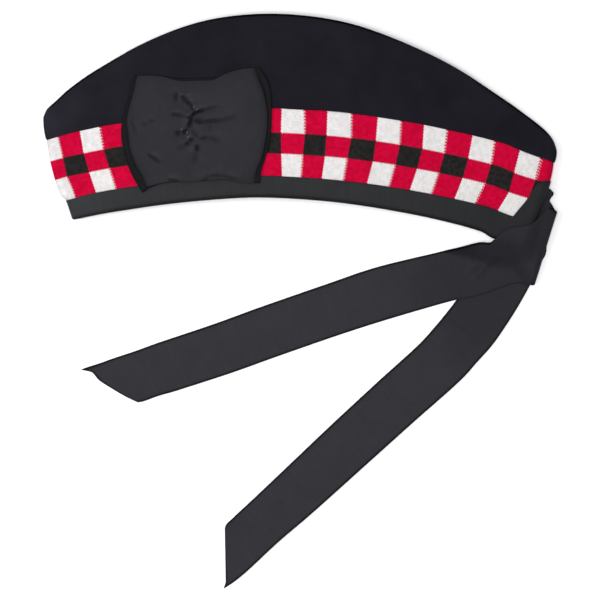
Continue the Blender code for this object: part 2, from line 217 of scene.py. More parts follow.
# The band's front fold. Columns: share of the band's height, share of front_puff.
FRONT_FOLD = (
    (-0.04, 0.00),
    (0.00, 0.12),
    (0.03, 0.60),
    (0.08, 0.96),
    (0.15, 1.04),
    (0.33, 1.04),
    (0.60, 0.80),
    (0.85, 0.36),
    (1.00, 0.00),
)

# The band's back fold. Columns: share of the band's height, share of back_puff.
BACK_FOLD = (
    (0.00, 0.60),
    (0.30, 0.90),
    (0.50, 1.00),
    (0.65, 1.00),
    (0.82, 0.75),
    (1.00, 0.15),
)

# Rows of squares: where each ends, as a share of the band's height
ROW_ENDS = (0.0, 0.331, 0.637, 1.0)

# Upright edges of the dicing. Columns: squares counted from the front edge of
# the one that lies round the front fold, then the edge's place as shares of the
# length, at the top of the band, below its first and its second row, and at the
# bottom.
DICING = (
    (0.25, 0.0000, 0.0000, 0.0000, 0.0000),
    (1.00, 0.0226, 0.0173, 0.0130, 0.0166),
    (2.00, 0.0662, 0.0606, 0.0602, 0.0618),
    (3.00, 0.1053, 0.1005, 0.1021, 0.1045),
    (4.00, 0.1530, 0.1530, 0.1540, 0.1570),
    (11.00, 0.4200, 0.4160, 0.4110, 0.4080),
    (12.00, 0.4645, 0.4616, 0.4615, 0.4621),
    (13.00, 0.5088, 0.5105, 0.5060, 0.5026),
    (14.00, 0.5544, 0.5541, 0.5524, 0.5469),
    (15.00, 0.6018, 0.6044, 0.5983, 0.5933),
    (16.00, 0.6535, 0.6541, 0.6523, 0.6441),
    (17.00, 0.6991, 0.7030, 0.6988, 0.6915),
    (18.00, 0.7443, 0.7487, 0.7443, 0.7361),
    (19.00, 0.7900, 0.7933, 0.7897, 0.7825),
    (20.00, 0.8407, 0.8421, 0.8398, 0.8325),
    (21.00, 0.8841, 0.8890, 0.8867, 0.8768),
    (22.00, 0.9341, 0.9357, 0.9371, 0.9258),
    (23.00, 0.9750, 0.9788, 0.9774, 0.9686),
    (23.25, 1.0000, 1.0000, 1.0000, 1.0000),
)

# Corners of the cockade's face from its middle, in metres: the top left, the
# top right, the bottom left and the bottom right one.
COCKADE_CORNERS = ((-0.0344, 0.0310), (0.0341, 0.0354), (-0.0285, -0.0338), (0.0339, -0.0319))

# Edges of the cockade. Columns: share of an edge from the left or from the top,
# then in millimetres how far the face's top, right, bottom and left edges stand
# out from the straight lines between its corners, and how far the folded sides
# show beyond its right and its left edge.
COCKADE_EDGE = (
    (0.00, 0.0, 0.0, 0.0, 0.0, 3.0, 1.0),
    (0.11, -0.5, 2.6, -1.4, 2.0, 4.8, 2.1),
    (0.22, -1.6, 5.5, -2.5, 4.6, 3.9, 2.0),
    (0.33, -4.2, 7.0, -2.1, 7.1, 2.8, 1.9),
    (0.41, -5.0, 7.7, -2.2, 8.3, 2.1, 2.6),
    (0.53, -5.3, 7.5, -2.3, 8.0, 2.1, 4.2),
    (0.65, -5.5, 6.4, -2.7, 7.8, 1.9, 3.9),
    (0.72, -3.5, 5.5, -2.7, 6.7, 1.9, 4.0),
    (0.80, -1.6, 4.0, -1.7, 5.2, 1.9, 4.4),
    (0.90, -0.3, 1.2, -0.3, 2.0, 2.6, 4.8),
    (1.00, 0.0, 0.0, 0.0, 0.0, 3.0, 2.5),
)

# The gathered line down the cockade's middle. Columns: height from -1 to 1, and
# place across in millimetres.
GATHERED_LINE = (
    (-0.62, -0.5),
    (-0.25, -1.5),
    (-0.08, -7.0),
    (0.10, -5.0),
    (0.31, -1.0),
    (0.50, -6.5),
    (0.74, -12.0),
)

# Pinches and creases of the gathered ribbon, in millimetres from the cockade's
# middle. Columns: the start and the end along X and Y, depth, width, which side
# is the fuller one, 1 above or -1 below, and how dark the painted shade in its hollow is, 0 to 1, which
# also sets the painted highlight on its lip.
COCKADE_CREASES = (
    (-11.7, 21.2, -11.4, 15.2, 0.9, 1.8, 1, 0.60),
    (-8.3, 19.0, -5.2, 15.0, 1.0, 2.0, 1, 0.72),
    (-5.8, 16.2, -2.2, 12.9, 1.0, 1.5, 1, 0.75),
    (-2.7, 13.9, -1.6, 9.2, 1.1, 1.3, 1, 0.80),
    (-2.2, 8.1, 1.4, 10.0, 1.4, 1.5, 1, 1.00),
    (0.2, 9.5, 6.6, 11.0, 1.2, 1.4, 1, 0.85),
    (5.8, 10.9, 13.8, 12.7, 0.5, 1.9, 1, 0.35),
    (-1.5, 9.2, -2.5, 5.2, 1.3, 1.3, 1, 0.85),
    (-5.2, 6.8, -1.5, 5.7, 1.0, 1.3, -1, 0.75),
    (-14.2, 8.4, -5.2, 7.2, 0.7, 1.6, 1, 0.50),
    (-2.1, 6.2, -5.0, -0.6, 1.5, 1.5, 1, 1.00),
    (-6.4, -0.8, -7.3, -4.0, 1.0, 1.4, 1, 0.85),
    (-11.3, -1.3, -9.2, -4.4, 1.0, 2.0, 1, 0.75),
    (-4.9, -0.2, -6.6, -2.6, 1.0, 1.2, 1, 0.80),
    (-0.6, 5.2, 5.2, 3.2, 1.0, 2.0, -1, 0.62),
    (4.6, 4.2, 17.6, 4.9, 0.8, 1.7, 1, 0.45),
    (15.8, 5.1, 25.6, 7.4, 0.5, 1.9, 1, 0.32),
    (-2.4, -1.0, 1.2, -6.2, 0.7, 1.5, -1, 0.42),
    (-1.8, -5.8, -4.2, -8.2, 1.0, 1.5, 1, 0.80),
    (-3.8, -7.9, -7.0, -10.0, 0.9, 1.4, 1, 0.72),
    (-6.8, -11.4, -11.4, -10.6, 0.5, 2.4, 1, 0.32),
    (0.5, -9.6, 1.1, -14.2, 1.1, 1.9, -1, 0.90),
    (0.3, -14.0, -1.8, -22.0, 0.5, 2.3, -1, 0.32),
    (2.1, -6.2, 8.4, -5.2, 0.6, 1.7, 1, 0.45),
    (7.8, -5.6, 15.0, -8.8, 0.5, 2.6, 1, 0.32),
    (8.3, 2.8, 8.3, -2.6, 0.4, 1.3, 1, 0.25),
    (-27.9, -15.1, -19.4, -20.9, 0.7, 1.6, 1, 0.60),
    (-24.0, 4.7, -28.8, 4.2, 0.4, 1.2, 1, 0.30),
    (-28.2, 2.4, -33.0, 3.0, 0.4, 1.4, 1, 0.28),
    (-37.6, 3.7, -34.4, -4.3, 0.4, 1.5, 1, 0.28),
    (-16.2, -29.8, -7.8, -31.1, 0.5, 1.5, 1, 0.60),
    (2.6, -31.2, 9.8, -27.6, 0.5, 2.2, 1, 0.40),
    (8.6, -27.6, 18.0, -28.1, 0.5, 2.2, 1, 0.40),
    (16.5, -28.0, 26.0, -31.0, 0.5, 2.0, 1, 0.35),
)

# Gathering stitches. Columns: place from the cockade's middle along X and Y in
# millimetres, and the thread's direction in degrees.
STITCHES = (
    (0.7, 11.2, 35),
    (-1.2, 12.6, 75),
    (-8.2, -0.1, 60),
    (-5.1, -2.1, 80),
    (-4.4, -4.8, 50),
)

# Route of each tail. Columns: centre of the ribbon from the rim's rear corner,
# along X and Y, as shares of the tail's reach; the direction across the ribbon
# in degrees; its span that way as a share of the ribbon's width; and the layer,
# 0 under the fold and 1 over it, or -1 inside the slit.
TAIL_UPPER = (
    (-0.002, 0.097, -148, 0.90, -1.00),
    (0.009, 0.073, -134, 0.98, -0.60),
    (0.021, 0.049, -122, 1.12, -0.20),
    (0.037, 0.015, -110, 1.37, 0.00),
    (0.044, 0.001, -107, 1.49, 0.50),
    (0.030, 0.005, -104, 1.57, 1.00),
    (0.002, -0.009, -103, 1.22, 1.00),
    (-0.024, -0.015, -100, 1.17, 1.00),
    (-0.048, -0.021, -99, 1.20, 1.00),
    (-0.072, -0.0355, -98, 1.07, 1.00),
    (-0.085, -0.0425, -97, 1.01, 1.00),
    (-0.101, -0.044, -92, 1.04, 1.00),
    (-0.134, -0.052, -80, 1.00, 1.00),
    (-0.175, -0.061, -73, 1.00, 1.00),
    (-0.304, -0.0952, -71, 1.055, 1.00),
    (-0.412, -0.1305, -71, 1.035, 1.00),
    (-0.556, -0.1805, -70, 1.035, 1.00),
    (-0.657, -0.217, -70, 1.03, 1.00),
    (-0.772, -0.255, -69, 1.02, 1.00),
    (-0.834, -0.2755, -60, 1.01, 1.00),
    (-0.894, -0.297, -36, 1.18, 1.00),
)
TAIL_LOWER = (
    (0.012, 0.126, 20, 0.68, -1.00),
    (0.026, 0.113, 16, 0.69, -0.80),
    (0.017, 0.099, 14, 0.69, -0.60),
    (0.012, 0.072, 12, 0.69, 0.00),
    (0.008, 0.030, 8, 0.70, 0.60),
    (0.000, -0.007, 0, 0.84, 1.00),
    (-0.020, -0.030, -3, 0.98, 1.00),
    (-0.049, -0.068, -11, 1.10, 1.00),
    (-0.073, -0.106, -21, 1.10, 1.00),
    (-0.097, -0.142, -30, 1.10, 1.00),
    (-0.124, -0.179, -35, 1.11, 1.00),
    (-0.155, -0.215, -41, 1.09, 1.00),
    (-0.1955, -0.259, -41, 1.09, 1.00),
    (-0.2915, -0.345, -46, 1.07, 1.00),
    (-0.3945, -0.439, -46, 1.05, 1.00),
    (-0.5130, -0.5485, -46, 1.01, 1.00),
    (-0.5943, -0.6215, -46, 0.965, 1.00),
    (-0.6332, -0.658, -62, 1.00, 1.00),
    (-0.671, -0.692, -89, 1.18, 1.00),
)

# Cut end of the upper tail. Columns: share across it, and millimetres that it
# stands out beyond a straight cut.
UPPER_END = (
    (0.00, 0.6),
    (0.07, 0.9),
    (0.24, 2.5),
    (0.36, 2.5),
    (0.73, 1.4),
    (0.92, 0.3),
    (1.00, -0.3),
)

# Faint creases in the tails, in millimetres from the rim's rear corner. Columns:
# the start and the end along X and Y, height and width.
TAIL_CREASES = (
    (-30.5, -16.5, -24.5, -11.0, 0.55, 1.8),
    (-25.5, -12.0, -15.5, -2.2, 0.45, 1.6),
    (-48.5, -42.0, -28.8, -54.2, 0.60, 1.6),
)


# Small helpers

def blend(a, b, share):
    return a + (b - a) * share


def ease(share):
    share = np.clip(share, 0.0, 1.0)
    return share * share * (3 - 2 * share)


def read_table(table, at, column):
    """A smooth reading of one column, rising along the table's first column."""
    rows = np.array([row[0] for row in table], float)
    values = np.array([row[column] for row in table], float)
    index = np.arange(len(rows))
    low, high = np.maximum(index - 1, 0), np.minimum(index + 1, len(rows) - 1)
    slopes = (values[high] - values[low]) / (rows[high] - rows[low])
    at = np.clip(at, rows[0], rows[-1])
    i = np.clip(np.searchsorted(rows, at, side="right") - 1, 0, len(rows) - 2)
    gap = rows[i + 1] - rows[i]
    t = (at - rows[i]) / gap
    start = values[i] * (2 * t**3 - 3 * t**2 + 1) + slopes[i] * gap * (t**3 - 2 * t**2 + t)
    return start + values[i + 1] * (3 * t**2 - 2 * t**3) + slopes[i + 1] * gap * (t**3 - t**2)


def beside_line(x, y, crease):
    """Share of the way along a crease, and distance to the left of it."""
    x0, y0, x1, y1 = crease[:4]
    length = hypot(x1 - x0, y1 - y0)
    along = ((x - x0) * (x1 - x0) + (y - y0) * (y1 - y0)) / length**2
    return along, ((y - y0) * (x1 - x0) - (x - x0) * (y1 - y0)) / length


def uneven(points, scale, seed=0.0):
    """Soft lumps from -1 to 1 at each point, about that many metres across."""
    shift = Vector((seed, 2 * seed, 3 * seed))
    flat = points.reshape(-1, 3)
    found = [noise.noise(Vector(point) / scale + shift) for point in flat]
    return np.array(found).reshape(points.shape[:-1])


# The cap's walls: share u runs from the front fold to the back fold, and a
# level is a line along the wall, at a height h from the rim up to the top of
# the band, and by a share c from there to the ridge

def wall_ends(h, c):
    reach = h * sin(wall_lean)
    return blend(rim_inset - reach, 0.0, c), blend(back_rim + reach, cap_length, c)


def wall_height(u, h, c):
    within_binding = np.minimum(1.0, h / binding_width)
    within_band = np.clip((h - binding_width) / band_height, 0.0, 1.0)
    widening = read_table(RIM, u, 2) * within_binding + read_table(RIM, u, 3) * within_band
    lean = wall_lean * (2 * u - 1)
    band = h * np.cos(lean) + cap_height * (read_table(RIM, u, 1) + widening)
    return blend(band, cap_height * read_table(RIDGE, u, 1), c)


def thickness_at(u, h, c):
    up = 1 - np.minimum(1.0, h / band_top)
    middle = band_top_thickness + (mouth_thickness - band_top_thickness) * up**2
    middle = middle + (ridge_thickness - band_top_thickness) * c**2
    swell = np.sin(pi * np.clip(u, 0.0, 1.0))**swell_fullness
    return fold_thickness + (middle - fold_thickness) * swell


def floor_height(u, h, c):
    """Height of the lower side's outer face, which lies on its binding and then on the surface."""
    up = (h - binding_width - clearance) / (band_height - clearance)
    front = 1 - np.clip(up, 0.0, 1.0)
    back = 1 - np.minimum(1.0, 2 * c)
    return ribbon_stand * blend(front, back, ease((u - turn_up_start) / turn_up_span + 1))


# Columns of a closed line round the cap: the back end, the upper side, the
# front end and the lower side. A column lies on a side, at a share of the
# length, or on one of the end folds, at a turn up or down from the fold's line
quarter = np.linspace(0, pi / 2, fold_steps + 1)
places = np.interp(np.linspace(0, 1, side_steps + 2)[1:-1], (0, 0.05, 0.84, 1), (0, 0.03, 0.93, 1))
column_turn = np.concatenate([quarter, 0 * places, quarter[::-1], -quarter[1:],
                              0 * places, -quarter[:0:-1]])
column_share = np.concatenate([0 * quarter + 1, places[::-1], 0 * quarter, 0 * quarter[1:],
                               places, 0 * quarter[1:] + 1])
column_end = np.concatenate([0 * quarter + 1, 0 * places, 0 * quarter - 1, 0 * quarter[1:] - 1,
                             0 * places, 0 * quarter[1:] + 1])
columns = len(column_turn)
front_column = columns // 2
column_upper = np.arange(columns) < front_column
column_facing = np.where(column_end == 0, np.where(column_upper, 1.0, -1.0), np.sin(column_turn))
beside_slit = (column_end > 0) & (np.abs(column_turn) < slit_half_angle)
near_front = np.where(column_end == 0, 1 - ease(column_share / puff_reach), column_end < 0)
near_back = np.where(column_end == 0, 1 - ease((1 - column_share) / puff_reach), column_end > 0)
# Painted shade on the end folds where they turn sideways, away from the light
turned_away = 1 - ease(np.abs(column_facing) / edge_facing)


def wall_line(h, c=0.0, stand=0.0, lift=0.0):
    """Points of one closed line round the cap; h may differ from column to column."""
    front, back = wall_ends(h, c)
    radius = fold_radius + stand
    bulge = radius * (1 - np.cos(column_turn))
    along = front + fold_radius + (back - front - 2 * fold_radius) * column_share
    folded = np.where(column_end < 0, front - stand + bulge, back + stand - bulge)
    x = np.where(column_end == 0, along, folded)
    rows_up = (h - binding_width) / band_height
    crown_out = crown_puff * (4 * c * (1 - c))**0.6
    front_out = front_puff * read_table(FRONT_FOLD, rows_up, 1) * (1 - c) + crown_out
    back_out = back_puff * read_table(BACK_FOLD, rows_up, 1) * (1 - c) + crown_out
    low = floor_height(column_share, h, c)
    top = low + thickness_at(column_share, h, c)
    side = np.where(column_upper, top + stand, low - stand)
    z = np.where(column_end == 0, side, low + fold_radius + radius * np.sin(column_turn))
    y = wall_height((x - front) / (back - front), h, c) + lift
    return np.stack([x - front_out * near_front + back_out * near_back, y, z], axis=1)


def line_share(h, c=0.0):
    """Share of the length at each column of a line."""
    front, back = wall_ends(h, c)
    return (wall_line(h, c)[:, 0] - front) / (back - front)


# Pieces of cloth

def new_piece(name, points, faces, material, maps=None, shade=None):
    mesh = bpy.data.meshes.new(name)
    mesh.from_pydata(points.reshape(-1, 3).tolist(), [], faces)
    if maps is not None:
        layer = mesh.uv_layers.new(name="cloth")
        layer.data.foreach_set("uv", np.array(maps, np.float32).ravel())
    if shade is not None:
        depth = mesh.attributes.new("shade", "FLOAT", "POINT")
        depth.data.foreach_set("value", np.array(shade, np.float32).ravel())
    mesh.validate()
    mesh.shade_smooth()
    mesh.materials.append(material)
    piece = bpy.data.objects.new(name, mesh)
    bpy.context.scene.collection.objects.link(piece)
    return piece


def grid_corners(count, span, leave_out=None, turned=False):
    """Row and column of each corner of the faces between rows, this many faces to a row."""
    faces = []
    for r in range(count - 1):
        for i in range(span):
            if leave_out is None or not leave_out[r, i]:
                faces.append([(r, i), (r, i + 1), (r + 1, i + 1), (r + 1, i)])
    return [face[::-1] for face in faces] if turned else faces


def numbered(corners, around, first=0):
    """The same faces by the numbers of their points, with this many points to a row."""
    return [[first + r * around + i % around for r, i in face] for face in corners]


def cloth_rows(name, rows, material, cloth_map, closed=False, turned=False, leave_out=None, shade=None):
    """Cloth through rows of points, with each point's place on the flat cloth and its shade."""
    count, around = rows.shape[:2]
    corners = grid_corners(count, around if closed else around - 1, leave_out, turned)
    maps = [cloth_map[place] for face in corners for place in face]
    return new_piece(name, rows, numbered(corners, around), material, maps, shade)


def flat_places(rows, closed=False):
    """Each point's distance across the rows and along them, in metres."""
    steps = np.linalg.norm(np.diff(rows, axis=0), axis=2)
    across = np.vstack([np.zeros(rows.shape[1]), np.cumsum(steps, axis=0)])
    middle = rows[len(rows) // 2]
    if closed:
        middle = np.vstack([middle, middle[:1]])
        across = np.hstack([across, across[:, :1]])
    run = np.concatenate([[0], np.cumsum(np.linalg.norm(np.diff(middle, axis=0), axis=1))])
    return np.stack([across, np.broadcast_to(run, across.shape)], axis=2)


def thicken(piece, thickness, offset):
    shell = piece.modifiers.new("cloth thickness", "SOLIDIFY")
    shell.thickness = thickness
    shell.offset = offset
    shell.use_even_offset = True
    shell.use_quality_normals = True
    shell.thickness_clamp = 1.0


def dress(piece, nodes):
    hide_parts(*nodes)
    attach(piece, "root")


# Crown

def ridge_rise(u):
    """Height of the ridge over the walls that it joins, none at the cap's ends."""
    return corner_rise * ease(np.minimum(u, 1 - u) / corner_reach)


def panel_section(upper, lower):
    """Points across the creased top panel, from the upper side's edge to the lower side's."""
    u = upper[:, 0] / cap_length
    rise = ridge_rise(u)
    half = (upper[:, 2] - lower[:, 2]) / 2
    middle = (upper[:, 2] + lower[:, 2]) / 2
    radius = np.minimum(ridge_fold_radius, (half - 2 * valley_half_gap) / 2)
    crease = ease((np.minimum(u, 1 - u) - crease_start) / crease_span)
    depth = valley_depth * np.sin(pi * u)**crease_fullness
    crest = upper[:, 1] + rise
    folded = []
    for angle in np.linspace(0, pi, panel_steps)[1:]:
        folded.append((half - radius * (1 - cos(angle)), crest - rise * (1 - sin(angle))))
    for share in np.linspace(0, 1, panel_steps)[1:]:
        sheet = blend(half - 2 * radius, valley_half_gap, ease(share * 0.9) / ease(0.9))
        folded.append((sheet, crest - blend(rise, depth + rise, share)))
    folded.append((0 * half, folded[-1][1] - valley_half_gap))
    folded += [(-z, y) for z, y in folded[-2::-1]]
    angles = pi * (np.arange(len(folded)) + 1)[:, None] / (len(folded) + 1)
    y = blend(upper[:, 1] + rise * np.sin(angles), np.array([y for z, y in folded]), crease)
    z = blend(half * np.cos(angles), np.array([z for z, y in folded]), crease)
    over = np.maximum(0, y - upper[:, 1])
    highest = np.maximum(over.max(axis=0), 1e-6)
    y += (crest - upper[:, 1] - over.max(axis=0)) * over / highest
    x = np.broadcast_to(upper[:, 0], y.shape)
    # Painted shade near the top of the ridge's turn, and inside the creased panel
    up = over / np.maximum(rise, 1e-6)
    shade = ease((up - ridge_shade[0]) / ridge_shade[1])
    shade = np.maximum(shade, panel_shade * (np.abs(z) < half - radius) * crease)
    return np.stack([x, y, middle + z], axis=2), shade


def make_crown(material):
    """The wall above the band, and the top panel creased inwards between its two sides."""
    rows = []
    end_share = wall_line(band_top, 1.0)[:, 0] / cap_length
    for share in np.linspace(0, 1, crown_rows):
        lift = -join_overlap * (1 - share) - ridge_rise(end_share) * share
        stand = -join_step * (1 - float(ease(share / join_rise)))
        rows.append(wall_line(band_top, share, stand, lift))
    wall = np.array(rows)
    lumps = uneven(wall, scale=0.030) + 0.4 * uneven(wall, scale=0.009, seed=3.0)
    wall[..., 2] += wool_lump * lumps * np.maximum(0, column_facing)
    inner = np.arange(1, front_column)
    upper, lower = wall[-1, inner], wall[-1, columns - inner]
    sections, section_shade = panel_section(upper, lower)
    points = np.concatenate([wall.reshape(-1, 3), sections.reshape(-1, 3)])
    # Painted shade on the wall's end folds, and on the panel
    shade = np.concatenate([np.tile(turned_away, len(wall)), section_shade.ravel()])
    faces = numbered(grid_corners(len(wall), columns, turned=True), columns)
    top = (len(wall) - 1) * columns
    grid = [top + inner]
    for k in range(len(sections)):
        grid.append(len(wall) * columns + k * len(inner) + np.arange(len(inner)))
    grid.append(top + columns - inner)
    for here, there in zip(grid, grid[1:]):
        for i in range(len(inner) - 1):
            faces.append([int(there[i]), int(there[i + 1]), int(here[i + 1]), int(here[i])])
        faces.append([top, int(there[0]), int(here[0])])
        faces.append([int(here[-1]), int(there[-1]), top + front_column])
    crown = new_piece("crown_wool", points + cap_place, faces, material, shade=shade)
    thicken(crown, wool_wall, offset=-1)
    dress(crown, ["crown"])
    return crown


# Band: its flat places are counted in squares along and rows up

def square_places(h):
    """Squares along the band at each column and once more at the closing one."""
    up = np.clip((h - binding_width) / band_height, 0, 1)
    edges = [np.interp(up, ROW_ENDS, edge[:0:-1]) for edge in DICING]
    along = np.interp(line_share(h), edges, [edge[0] for edge in DICING])
    first = DICING[0][0]
    signed = np.where(np.arange(columns) <= front_column, along, 2 * first - along)
    return np.append(signed, 2 * first - along[0])


def make_band(material):
    """Knitted wall from the rim to the crown, open at the rear slit."""
    rim_turn_height = model_ribbon / 2 + wool_wall / 2 + clearance + model_ribbon / 2
    heights = np.concatenate([np.linspace(rim_turn_height, slit_height, band_rows[0]),
                              np.linspace(slit_height, band_top, band_rows[1])[1:]])
    rows, squares = [], []
    for h in heights:
        tuck = -2 * join_step * float(ease((h - band_top + join_tuck) / join_tuck))
        rows.append(wall_line(h, stand=tuck))
        along = square_places(h)
        within = (h - binding_width) / band_height
        up = np.interp(within, ROW_ENDS, range(len(ROW_ENDS))) if within > 0 else 3 * within
        squares.append(np.stack([along, np.full(columns + 1, up)], axis=1))
    rows, squares = np.array(rows), np.array(squares)
    puckers = np.abs(np.sin(pi * squares[:, :-1, 0]) * np.sin(pi * squares[:, :-1, 1]))
    off_table = rows[..., 2] > pressed_flat
    rows[..., 2] += pucker_height * puckers * np.sign(column_facing) * off_table
    opened = np.zeros((len(heights), columns), bool)
    opened[heights < slit_height] = beside_slit & np.roll(beside_slit, -1)
    band = cloth_rows("diced_knit", rows + cap_place, material, squares,
                      closed=True, turned=True, leave_out=opened)
    thicken(band, wool_wall, offset=-1)
    dress(band, ["diced_band"])
    return band


# Binding: ribbon folded round the rim and turned up beside the rear slit

def make_binding(material):
    """From its top edge outside, down and round the rim, and up to its edge inside."""
    rim_turn = wool_wall / 2 + binding_stand
    rim_turn_height = model_ribbon / 2 + rim_turn
    turn_up = np.interp(line_share(0.0), *np.transpose(REAR_BINDING))
    top = binding_width + slit_height * turn_up
    rows = [wall_line(blend(rim_turn_height, top, share), stand=binding_stand)
            for share in np.linspace(1, 0, binding_rows)]
    # Painted shade where the end folds turn sideways and along the rim
    shade = [turned_away] * (binding_rows - 1) + [np.maximum(turned_away, rim_shade)]
    for angle in np.radians(np.arange(20, 180, 20)):
        stand = -wool_wall / 2 + rim_turn * cos(angle)
        rows.append(wall_line(rim_turn_height, stand=stand, lift=-rim_turn * sin(angle)))
        # Painted shade, deeper towards the inside of the turn round the rim
        deeper = min(1.0, rim_shade + rim_turn_shade * sin(angle / 2))
        shade.append(np.maximum(turned_away, deeper))
    for h in np.linspace(rim_turn_height, binding_inside, 6):
        rows.append(wall_line(h, stand=-wool_wall - binding_stand))
        # Painted shadow on the binding inside the opening
        shade.append(0 * turned_away + inside_shade)
    rows = np.array(rows) + cap_place
    ripple = uneven(rows, scale=0.012, seed=5.0) * np.maximum(0, column_facing)
    rows[..., 2] += binding_ripple * ripple
    opened = np.zeros(rows.shape[:2], bool)
    opened[:] = beside_slit & np.roll(beside_slit, -1)
    flat = flat_places(rows, closed=True)
    binding = cloth_rows("rim_binding", rows, material, flat, closed=True, leave_out=opened, shade=shade)
    thicken(binding, ribbon_thickness, offset=0)
    dress(binding, ["edge_binding"])
    return binding


# Where cloth lies on other cloth

map_step = 0.001
map_low = np.array((-0.130, -0.075))
map_size = (290, 225)


def top_of(tree, x, y):
    """Where a line straight down at a place first meets a surface, or nothing."""
    return tree.ray_cast(Vector((x, y, 0.2)), Vector((0, 0, -1)))[0]


def raised_to(heights, trees, gap=0.0):
    """The same heights, raised to lie a gap above the highest of these surfaces."""
    raised = heights.copy()
    for i, j in np.ndindex(*map_size):
        for tree in trees:
            hit = top_of(tree, *(map_low + map_step * np.array((i, j))))
            if hit:
                raised[i, j] = max(raised[i, j], hit.z + gap)
    return raised


def heights_below(pieces):
    """Height of the highest of these pieces over a grid of places, or of the surface."""
    view = bpy.context.evaluated_depsgraph_get()
    return raised_to(np.zeros(map_size), [BVHTree.FromObject(piece, view) for piece in pieces])


def hang_over(heights, steepest, level):
    """Cloth over these heights, no steeper than a slope and level for a while beyond each edge."""
    reach = min(14, int(ceil((level + heights.max() / steepest) / map_step)))
    padded = np.pad(heights, reach)
    best = heights.copy()
    for i in range(2 * reach + 1):
        for j in range(2 * reach + 1):
            away = map_step * np.hypot(i - reach, j - reach)
            if away <= reach * map_step:
                fall = steepest * max(0.0, away - level)
                best = np.maximum(best, padded[i:i + map_size[0], j:j + map_size[1]] - fall)
    return best


def soften(heights, steps):
    """The same heights with each step smoothed over its neighbours."""
    for axis in (0, 1):
        total = heights * 0
        for k in range(-steps, steps + 1):
            total += np.roll(heights, k, axis=axis)
        heights = total / (2 * steps + 1)
    return heights


def read_heights(heights, x, y):
    """Heights at places between those of the grid."""
    i = np.clip((x - map_low[0]) / map_step, 0, map_size[0] - 1.001)
    j = np.clip((y - map_low[1]) / map_step, 0, map_size[1] - 1.001)
    a, b = i.astype(int), j.astype(int)
    s, t = i - a, j - b
    near = blend(heights[a, b], heights[a + 1, b], s)
    return blend(near, blend(heights[a, b + 1], heights[a + 1, b + 1], s), t)


# Cockade: a flattened loop of ribbon drawn together down its middle

def cockade_place(a, b, beyond):
    """Place on the cockade, from -1 to 1 each way; beyond is 1 at the outside of a folded side."""
    across, down = (a + 1) / 2, (1 - b) / 2
    corners = np.array(COCKADE_CORNERS)
    top_line = blend(corners[0], corners[1], across[..., None])
    bottom_line = blend(corners[2], corners[3], across[..., None])
    x, y = np.moveaxis(blend(top_line, bottom_line, down[..., None]), -1, 0)
    top, bottom = (read_table(COCKADE_EDGE, across, column) for column in (1, 3))
    right, left = (read_table(COCKADE_EDGE, down, column) for column in (2, 4))
    right_side, left_side = (read_table(COCKADE_EDGE, down, column) for column in (5, 6))
    right, left = right + right_side * beyond, left + left_side * beyond
    top = top * (1 - side_straightness * beyond)
    x = x + (right * across - left * (1 - across)) / 1000
    y = y + (top * (1 - down) - bottom * down) / 1000
    return x, y - corner_drop * beyond * down**6 * (1 - across)**12


def crease_fold(x, y, crease):
    """Height of one crease at places in millimetres, the painted shade of its hollow and the painted
    highlight of the fuller lip beside it.
    """
    depth, width, side, hollow = crease[4:]
    along, off = beside_line(x, y, crease)
    off = off * side * np.copysign(1, crease[2] - crease[0])
    fade = ease((along + 0.15) / 0.30) * (1 - ease((along - 0.45) / 0.70))
    width = width * (0.45 + 0.65 * np.sin(pi * np.clip(0.15 + 0.7 * along, 0, 1)))
    valley = fade * np.exp(-np.abs(off / (0.60 * width))**1.6)
    lip = fade * np.exp(-((off - 1.5 * width) / (1.2 * width))**2)
    return depth * (0.40 * lip - valley), hollow * valley, hollow * lip


def cockade_relief(x, y, a, b):
    """Height of the upper layer's folds, and their painted shade: over 0 for painted shade in hollows,
    under 0 for a painted highlight on lips.
    """
    x, y = 1000 * x, 1000 * y
    away = np.abs(x - read_table(GATHERED_LINE, b, 1))
    fullness = (1 - np.exp(-(away / gather_reach)**1.4)) * (1 - 0.35 * b**4) * (1 - a**4)
    relief = 1000 * cockade_puff * fullness
    # Painted shade in the hollows and painted highlight on the lips
    hollows, lips = 0 * relief, 0 * relief
    for crease in COCKADE_CREASES:
        fold, hollow, lip = crease_fold(x, y, crease)
        relief = relief + fold
        hollows = np.maximum(hollows, hollow)
        lips = np.maximum(lips, lip)
    spread = np.stack([x / 1000 * 0.45, y / 1000, 0 * x], axis=-1)
    fine = uneven(spread, scale=0.0045, seed=7.0) * np.exp(-(away / wrinkle_reach)**2)
    broad = uneven(spread, scale=0.013, seed=9.0)
    relief = relief + fine_wrinkle * fine + broad_wrinkle * broad * (1 - np.abs(b)**6)
    return relief / 1000, hollows - lip_glint * lips * np.maximum(0, 1 - 3 * hollows)


